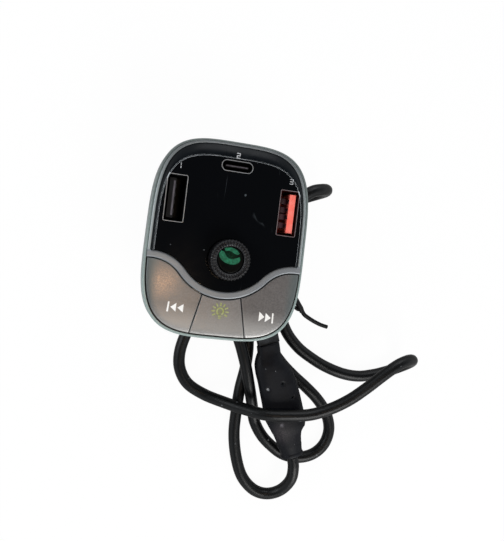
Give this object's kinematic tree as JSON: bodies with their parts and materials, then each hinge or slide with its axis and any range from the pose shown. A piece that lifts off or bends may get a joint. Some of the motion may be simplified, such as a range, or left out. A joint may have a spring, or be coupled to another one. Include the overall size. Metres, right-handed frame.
{
  "type": "car fm transmitter",
  "caption": "Car radio transmitter head with glossy display panel, ribbed volume ring, press buttons, charging ports and a looped supply cord ending in a moulded plug.",
  "frame": {"origin": "middle of the head's footprint on the surface that it lies on, face up", "axes": "+Z out of the face, +Y to the top of the face, +X to its right"},
  "size_m": [0.096, 0.1113, 0.0344],
  "materials": {
    "rear_shell": "fine spark-eroded texture, slightly worn at the edges",
    "base_pad": "plain",
    "case_screws": "plain",
    "front_frame": "plain",
    "light_ring": "satin translucent, diffusing",
    "panel_frame": "satin metallic paint",
    "face_panel": "high gloss",
    "display_lens": "high gloss with fine scratches and dust",
    "display_module": "plain",
    "display_cable": "plain",
    "button_prev": "metallic paint with fine flake",
    "button_light": "metallic paint with fine flake",
    "button_next": "metallic paint with fine flake",
    "stem_prev": "plain",
    "stem_light": "plain",
    "stem_next": "plain",
    "tact_switches": "plain",
    "control_board": "plain",
    "volume_ring": "fine ribs, satin",
    "ring_rotor": "plain",
    "encoder_body": "plain",
    "call_cap": "gloss, printed symbol",
    "call_stem": "plain",
    "call_switch": "plain",
    "usb_a_left_shell": "plain",
    "usb_a_left_tongue": "plain",
    "usb_a_left_contacts": "plain",
    "usb_a_right_shell": "plain",
    "usb_a_right_tongue": "gloss moulding",
    "usb_a_right_contacts": "plain",
    "usb_c_shell": "plain",
    "usb_c_tongue": "plain",
    "charge_board": "plain",
    "main_board": "plain",
    "board_pins": "plain",
    "power_coil": "plain",
    "capacitors": "plain",
    "radio_shield": "plain",
    "power_chip": "plain",
    "ring_leds": "plain",
    "microphone": "plain",
    "cord_gland": "plain",
    "supply_leads": "plain",
    "power_cord": "satin",
    "plug_grip": "fine matt moulding",
    "plug_collar": "plain",
    "plug_shell": "plain",
    "plug_tongue": "plain",
    "twist_tie": "plain"
  },
  "bodies": {
    "head": {"rear_shell": "rear_shell", "base_pad": "base_pad", "case_screws": "case_screws", "front_frame": "front_frame", "light_ring": "light_ring", "panel_frame": "panel_frame", "face_panel": "face_panel", "display_lens": "display_lens", "display_module": "display_module", "display_cable": "display_cable", "tact_switches": "tact_switches", "control_board": "control_board", "encoder_body": "encoder_body", "call_switch": "call_switch", "usb_a_left_shell": "usb_a_left_shell", "usb_a_left_tongue": "usb_a_left_tongue", "usb_a_left_contacts": "usb_a_left_contacts", "usb_a_right_shell": "usb_a_right_shell", "usb_a_right_tongue": "usb_a_right_tongue", "usb_a_right_contacts": "usb_a_right_contacts", "usb_c_shell": "usb_c_shell", "usb_c_tongue": "usb_c_tongue", "charge_board": "charge_board", "main_board": "main_board", "board_pins": "board_pins", "power_coil": "power_coil", "capacitors": "capacitors", "radio_shield": "radio_shield", "power_chip": "power_chip", "ring_leds": "ring_leds", "microphone": "microphone", "cord_gland": "cord_gland", "supply_leads": "supply_leads", "power_cord": "power_cord", "plug_grip": "plug_grip", "plug_collar": "plug_collar", "plug_shell": "plug_shell", "plug_tongue": "plug_tongue", "twist_tie": "twist_tie"},
    "volume_ring": {"volume_ring": "volume_ring", "ring_rotor": "ring_rotor"},
    "call_cap": {"call_cap": "call_cap", "call_stem": "call_stem"},
    "button_prev": {"button_prev": "button_prev", "stem_prev": "stem_prev"},
    "button_light": {"button_light": "button_light", "stem_light": "stem_light"},
    "button_next": {"button_next": "button_next", "stem_next": "stem_next"}
  },
  "joints": [
    {"name": "volume_turn", "type": "hinge", "parent": "head", "child": "volume_ring", "pos_m": [0.0004, -0.0052, 0.03], "axis": [0, 0, 1], "continuous": true},
    {"name": "call_press", "type": "slide", "parent": "head", "child": "call_cap", "axis": [0, 0, -1], "range_m": [0, 0.0005], "stiffness_N_per_m": 400},
    {"name": "prev_press", "type": "slide", "parent": "head", "child": "button_prev", "axis": [0, 0, -1], "range_m": [0, 0.0005], "stiffness_N_per_m": 400},
    {"name": "light_press", "type": "slide", "parent": "head", "child": "button_light", "axis": [0, 0, -1], "range_m": [0, 0.0005], "stiffness_N_per_m": 400},
    {"name": "next_press", "type": "slide", "parent": "head", "child": "button_next", "axis": [0, 0, -1], "range_m": [0, 0.0005], "stiffness_N_per_m": 400}
  ]
}
